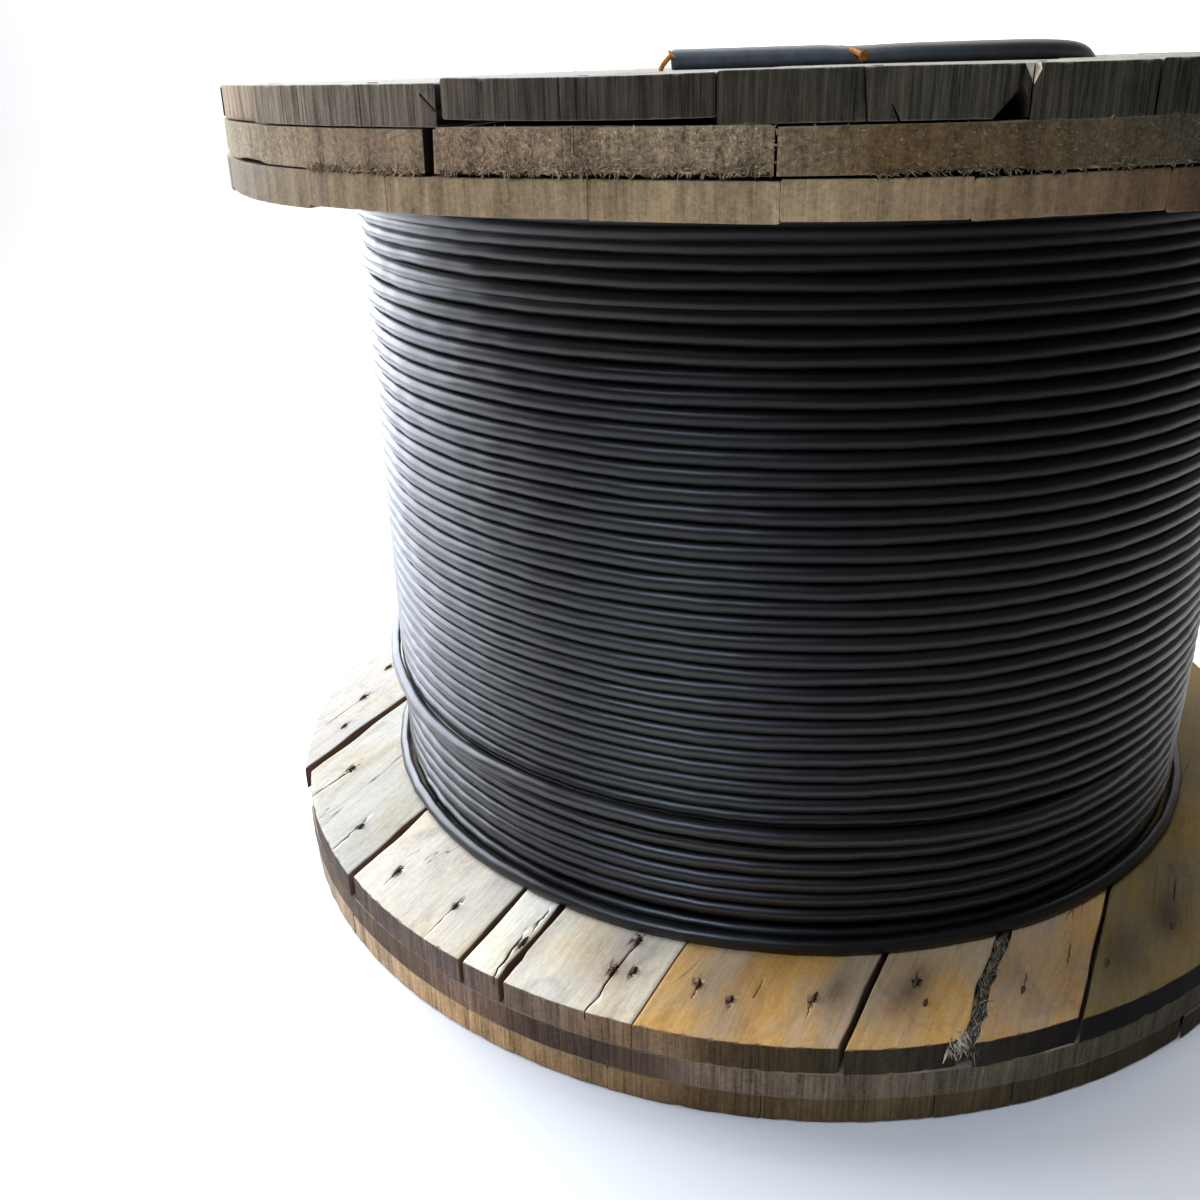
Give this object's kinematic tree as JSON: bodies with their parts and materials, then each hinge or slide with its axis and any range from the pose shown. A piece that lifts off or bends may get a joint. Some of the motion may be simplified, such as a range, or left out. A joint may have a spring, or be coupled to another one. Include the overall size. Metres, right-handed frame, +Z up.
{
  "type": "wooden cable drum",
  "caption": "Wooden cable drum with nailed crossed-board flanges, wound full of black cable whose inner end is nailed down on the upper flange.",
  "frame": {"origin": "on the drum's axis, in the lower flange's outer face, which the drum stands on", "axes": "+Z up along the drum's axis; -Y is the side that shows in the picture's middle"},
  "size_m": [1.25, 1.25, 0.9076],
  "materials": {
    "aged_boards": "rough sawn, weathered",
    "pale_boards": "rough sawn, pale",
    "grey_boards": "rough sawn, weathered grey",
    "barrel_wood": "rough sawn",
    "steel": "dull, lightly rusted",
    "cable_sheath": "smooth satin",
    "rusty_nails": "rusted"
  },
  "bodies": {
    "root": {"lower_outer_boards": "aged_boards", "lower_cross_boards": "aged_boards", "lower_inner_boards": "pale_boards", "upper_inner_boards": "pale_boards", "upper_cross_boards": "aged_boards", "upper_outer_boards": "grey_boards", "lower_bush": "steel", "upper_bush": "steel", "barrel_staves": "barrel_wood", "lower_barrel_disc": "barrel_wood", "upper_barrel_disc": "barrel_wood", "tie_bolts": "steel", "tie_bolt_nuts": "steel", "tie_bolt_washers": "steel", "wound_cable": "cable_sheath", "cable_tail": "cable_sheath", "tail_nails": "rusty_nails", "upper_nail_heads": "rusty_nails", "upper_clenched_nails": "rusty_nails", "lower_clenched_nails": "rusty_nails"}
  },
  "joints": []
}
